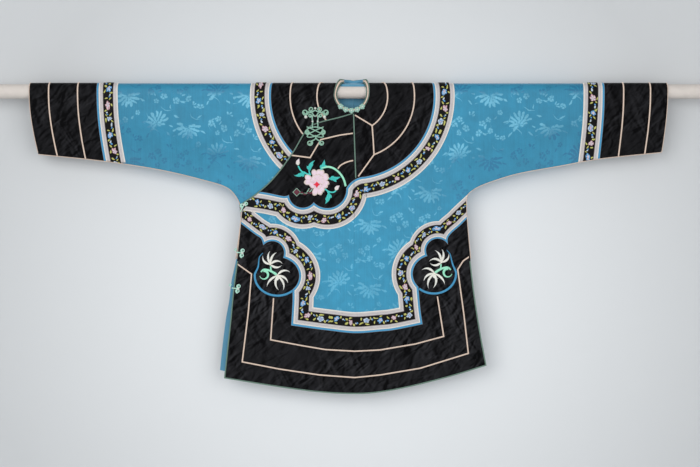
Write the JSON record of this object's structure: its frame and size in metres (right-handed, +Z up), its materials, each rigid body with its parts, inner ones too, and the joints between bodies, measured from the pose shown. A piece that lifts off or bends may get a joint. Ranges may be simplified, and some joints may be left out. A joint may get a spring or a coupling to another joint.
{
  "type": "chinese jacket on a display rod",
  "caption": "Side-closing damask silk jacket with wide sleeves, a round satin yoke and ribbon borders, hung flat by its sleeves on a straight rod.",
  "frame": {"origin": "on the rod's axis, at the jacket's centre seam", "axes": "+Z up, -Y the jacket's front, X along the rod with the wearer's left side at +X"},
  "size_m": [1.74, 0.0458, 0.7417],
  "materials": {
    "damask": "light blue silk damask with a tone-on-tone floral weave",
    "satin": "black silk satin with soft wrinkles",
    "tape": "off-white woven tape with fine lines along it",
    "ribbon": "black woven ribbon with small florets and leaves",
    "edging": "thin blue silk edging with a brown edge line",
    "piping": "cream-pink silk piping",
    "binding": "grey-green silk binding",
    "cord": "mint silk cord",
    "applique": "satin-stitched silk applique",
    "rod_cover": "cream cotton cover, matt"
  },
  "bodies": {
    "root": {"rod": "rod_cover", "sleeve_right": "damask", "sleeve_left": "damask", "body_left": "damask", "body_right": "damask", "overlap_front": "damask", "yoke_satin_right": "satin", "yoke_satin_left": "satin", "lapel_satin": "satin", "border_satin_front": "satin", "border_satin_back": "satin", "cuff_satin_right": "satin", "cuff_satin_left": "satin", "yoke_edging_right": "edging", "yoke_edging_left": "edging", "lapel_edging": "edging", "border_edging_front": "edging", "border_edging_back": "edging", "cuff_edging_right": "edging", "cuff_edging_left": "edging", "cloud_ring_right_front": "edging", "cloud_ring_left_front": "edging", "cloud_ring_right_back": "edging", "cloud_ring_left_back": "edging", "yoke_tape_right": "tape", "yoke_tape_left": "tape", "lapel_tape": "tape", "border_tape_front": "tape", "border_tape_back": "tape", "cuff_tape_right": "tape", "cuff_tape_left": "tape", "yoke_ribbon_right": "ribbon", "yoke_ribbon_left": "ribbon", "lapel_ribbon": "ribbon", "border_ribbon_front": "ribbon", "border_ribbon_back": "ribbon", "cuff_ribbon_right": "ribbon", "cuff_ribbon_left": "ribbon", "cuff_piping_outer_right": "piping", "cuff_piping_inner_right": "piping", "cuff_piping_outer_left": "piping", "cuff_piping_inner_left": "piping", "yoke_piping": "piping", "lapel_piping": "piping", "lapel_piping_curl": "piping", "border_piping_outer_front": "piping", "border_piping_inner_front": "piping", "border_piping_outer_back": "piping", "border_piping_inner_back": "piping", "lapel_binding": "binding", "hem_binding_front": "binding", "hem_binding_back": "binding", "neckband": "binding", "chest_frog": "cord", "side_frog_1": "cord", "side_frog_2": "cord", "side_frog_3": "cord", "peony": "applique", "chrysanthemums_right": "applique", "chrysanthemums_left": "applique"}
  },
  "joints": []
}
